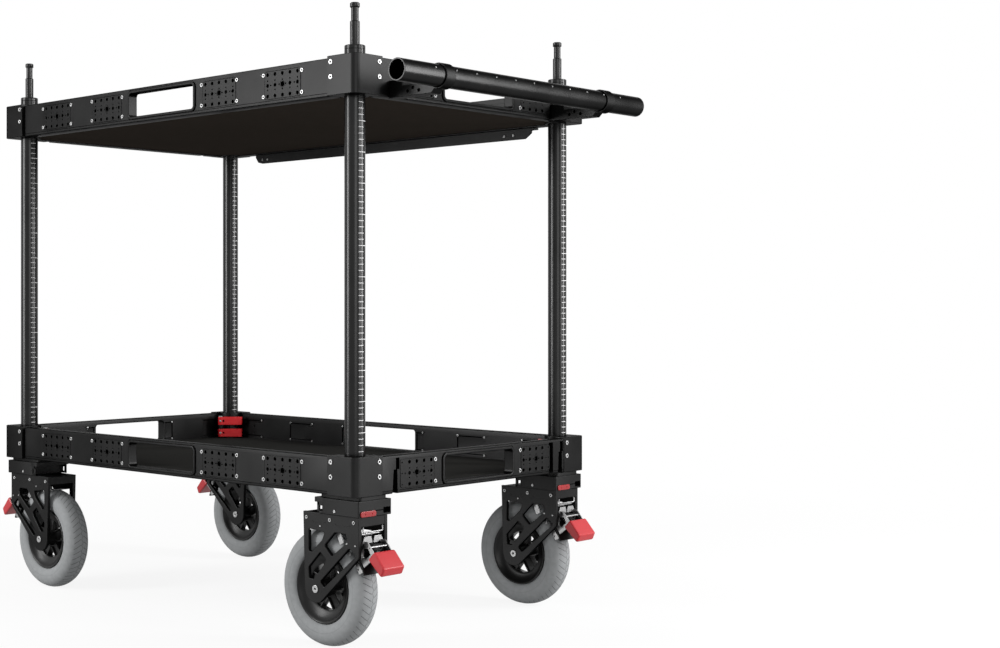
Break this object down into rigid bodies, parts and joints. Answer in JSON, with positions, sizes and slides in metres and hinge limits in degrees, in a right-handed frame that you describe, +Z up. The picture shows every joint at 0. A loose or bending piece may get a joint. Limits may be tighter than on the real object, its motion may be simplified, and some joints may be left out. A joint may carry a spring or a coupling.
{
  "type": "camera cart",
  "caption": "Two-shelf film equipment cart with graduated posts, stepped pins, tube push handle, quick-release clamps and braked swivel casters.",
  "frame": {"origin": "on the floor, under the middle of the cart's bounding box", "axes": "+X along the shelves, towards the push handle; +Y across, towards the side with the accessory rail; +Z up"},
  "size_m": [1.1442, 0.643, 1.046],
  "materials": {
    "frame_black": "black anodised, satin",
    "post_black": "black anodised, satin, with a white scale",
    "deck": "film-faced board, dark brown-black, matt",
    "caster_black": "black anodised, fine matt",
    "rim_black": "moulded black, satin",
    "tyre": "grey rubber with fine sipes",
    "pedal_red": "moulded red, soft sheen",
    "lever_red": "red anodised, satin"
  },
  "bodies": {
    "frame": {"lower_front_rail": "frame_black", "lower_rear_rail": "frame_black", "lower_push_end_rail": "frame_black", "lower_far_end_rail": "frame_black", "lower_push_front_corner": "frame_black", "lower_push_rear_corner": "frame_black", "lower_far_front_corner": "frame_black", "lower_far_rear_corner": "frame_black", "lower_deck": "deck", "push_front_post": "post_black", "push_front_caster_mount": "caster_black", "push_rear_post": "post_black", "push_rear_caster_mount": "caster_black", "far_front_post": "post_black", "far_front_caster_mount": "caster_black", "far_rear_post": "post_black", "far_rear_caster_mount": "caster_black"},
    "upper_shelf": {"upper_front_rail": "frame_black", "upper_rear_rail": "frame_black", "upper_push_end_rail": "frame_black", "upper_far_end_rail": "frame_black", "upper_push_front_corner": "frame_black", "upper_push_rear_corner": "frame_black", "upper_far_front_corner": "frame_black", "upper_far_rear_corner": "frame_black", "upper_deck": "deck", "handle_tube": "frame_black", "handle_front_arm": "frame_black", "handle_rear_arm": "frame_black", "handle_front_clamp_cap": "frame_black", "handle_rear_clamp_cap": "frame_black", "accessory_rail": "frame_black"},
    "lower_push_front_clamp_levers": {"lower_push_front_clamp_levers": "lever_red"},
    "lower_push_rear_clamp_levers": {"lower_push_rear_clamp_levers": "lever_red"},
    "lower_far_front_clamp_levers": {"lower_far_front_clamp_levers": "lever_red"},
    "lower_far_rear_clamp_levers": {"lower_far_rear_clamp_levers": "lever_red"},
    "upper_push_front_clamp_levers": {"upper_push_front_clamp_levers": "lever_red"},
    "upper_push_rear_clamp_levers": {"upper_push_rear_clamp_levers": "lever_red"},
    "upper_far_front_clamp_levers": {"upper_far_front_clamp_levers": "lever_red"},
    "upper_far_rear_clamp_levers": {"upper_far_rear_clamp_levers": "lever_red"},
    "push_front_caster": {"push_front_fork": "caster_black"},
    "push_front_wheel": {"push_front_rim": "rim_black", "push_front_tyre": "tyre"},
    "push_front_brake": {"push_front_brake_pedal": "pedal_red"},
    "push_front_lock": {"push_front_swivel_lock": "lever_red"},
    "push_rear_caster": {"push_rear_fork": "caster_black"},
    "push_rear_wheel": {"push_rear_rim": "rim_black", "push_rear_tyre": "tyre"},
    "push_rear_brake": {"push_rear_brake_pedal": "pedal_red"},
    "push_rear_lock": {"push_rear_swivel_lock": "lever_red"},
    "far_front_caster": {"far_front_fork": "caster_black"},
    "far_front_wheel": {"far_front_rim": "rim_black", "far_front_tyre": "tyre"},
    "far_front_brake": {"far_front_brake_pedal": "pedal_red"},
    "far_front_lock": {"far_front_swivel_lock": "lever_red"},
    "far_rear_caster": {"far_rear_fork": "caster_black"},
    "far_rear_wheel": {"far_rear_rim": "rim_black", "far_rear_tyre": "tyre"},
    "far_rear_brake": {"far_rear_brake_pedal": "pedal_red"},
    "far_rear_lock": {"far_rear_swivel_lock": "lever_red"}
  },
  "joints": [
    {"name": "upper_shelf_slide", "type": "slide", "parent": "frame", "child": "upper_shelf", "axis": [0, 0, 1], "range_m": [-0.5, 0]},
    {"name": "lower_push_front_clamp_turn", "type": "hinge", "parent": "frame", "child": "lower_push_front_clamp_levers", "pos_m": [0.40677, -0.2357, 0.2863], "axis": [0, 0, -1], "range_deg": [0, 110]},
    {"name": "lower_push_rear_clamp_turn", "type": "hinge", "parent": "frame", "child": "lower_push_rear_clamp_levers", "pos_m": [0.40677, 0.2357, 0.2863], "axis": [0, 0, 1], "range_deg": [0, 110]},
    {"name": "lower_far_front_clamp_turn", "type": "hinge", "parent": "frame", "child": "lower_far_front_clamp_levers", "pos_m": [-0.49321, -0.2357, 0.2863], "axis": [0, 0, 1], "range_deg": [0, 110]},
    {"name": "lower_far_rear_clamp_turn", "type": "hinge", "parent": "frame", "child": "lower_far_rear_clamp_levers", "pos_m": [-0.49321, 0.2357, 0.2863], "axis": [0, 0, -1], "range_deg": [0, 110]},
    {"name": "upper_push_front_clamp_turn", "type": "hinge", "parent": "upper_shelf", "child": "upper_push_front_clamp_levers", "pos_m": [0.40677, -0.2357, 0.9273], "axis": [0, 0, -1], "range_deg": [0, 110]},
    {"name": "upper_push_rear_clamp_turn", "type": "hinge", "parent": "upper_shelf", "child": "upper_push_rear_clamp_levers", "pos_m": [0.40677, 0.2357, 0.9273], "axis": [0, 0, 1], "range_deg": [0, 110]},
    {"name": "upper_far_front_clamp_turn", "type": "hinge", "parent": "upper_shelf", "child": "upper_far_front_clamp_levers", "pos_m": [-0.49321, -0.2357, 0.9273], "axis": [0, 0, 1], "range_deg": [0, 110]},
    {"name": "upper_far_rear_clamp_turn", "type": "hinge", "parent": "upper_shelf", "child": "upper_far_rear_clamp_levers", "pos_m": [-0.49321, 0.2357, 0.9273], "axis": [0, 0, -1], "range_deg": [0, 110]},
    {"name": "push_front_swivel", "type": "hinge", "parent": "frame", "child": "push_front_caster", "pos_m": [0.40778, -0.259, 0.2217], "axis": [0, 0, 1], "continuous": true},
    {"name": "push_front_wheel_spin", "type": "hinge", "parent": "push_front_caster", "child": "push_front_wheel", "pos_m": [0.34578, -0.259, 0.097], "axis": [0, 1, 0], "continuous": true},
    {"name": "push_front_brake_press", "type": "hinge", "parent": "push_front_caster", "child": "push_front_brake", "pos_m": [0.43632, -0.259, 0.17594], "axis": [0, 1, 0], "range_deg": [0, 3.5]},
    {"name": "push_front_lock_slide", "type": "slide", "parent": "frame", "child": "push_front_lock", "axis": [0, 1, 0], "range_m": [0, 0.016]},
    {"name": "push_rear_swivel", "type": "hinge", "parent": "frame", "child": "push_rear_caster", "pos_m": [0.40778, 0.259, 0.2217], "axis": [0, 0, 1], "continuous": true},
    {"name": "push_rear_wheel_spin", "type": "hinge", "parent": "push_rear_caster", "child": "push_rear_wheel", "pos_m": [0.34578, 0.259, 0.097], "axis": [0, 1, 0], "continuous": true},
    {"name": "push_rear_brake_press", "type": "hinge", "parent": "push_rear_caster", "child": "push_rear_brake", "pos_m": [0.43632, 0.259, 0.17594], "axis": [0, 1, 0], "range_deg": [0, 3.5]},
    {"name": "push_rear_lock_slide", "type": "slide", "parent": "frame", "child": "push_rear_lock", "axis": [0, 1, 0], "range_m": [0, 0.016]},
    {"name": "far_front_swivel", "type": "hinge", "parent": "frame", "child": "far_front_caster", "pos_m": [-0.49422, -0.259, 0.2217], "axis": [0, 0, 1], "continuous": true},
    {"name": "far_front_wheel_spin", "type": "hinge", "parent": "far_front_caster", "child": "far_front_wheel", "pos_m": [-0.43222, -0.259, 0.097], "axis": [0, 1, 0], "continuous": true},
    {"name": "far_front_brake_press", "type": "hinge", "parent": "far_front_caster", "child": "far_front_brake", "pos_m": [-0.52277, -0.259, 0.17594], "axis": [0, -1, 0], "range_deg": [0, 3.5]},
    {"name": "far_front_lock_slide", "type": "slide", "parent": "frame", "child": "far_front_lock", "axis": [0, -1, 0], "range_m": [0, 0.016]},
    {"name": "far_rear_swivel", "type": "hinge", "parent": "frame", "child": "far_rear_caster", "pos_m": [-0.49422, 0.259, 0.2217], "axis": [0, 0, 1], "continuous": true},
    {"name": "far_rear_wheel_spin", "type": "hinge", "parent": "far_rear_caster", "child": "far_rear_wheel", "pos_m": [-0.43222, 0.259, 0.097], "axis": [0, 1, 0], "continuous": true},
    {"name": "far_rear_brake_press", "type": "hinge", "parent": "far_rear_caster", "child": "far_rear_brake", "pos_m": [-0.52277, 0.259, 0.17594], "axis": [0, -1, 0], "range_deg": [0, 3.5]},
    {"name": "far_rear_lock_slide", "type": "slide", "parent": "frame", "child": "far_rear_lock", "axis": [0, -1, 0], "range_m": [0, 0.016]}
  ]
}
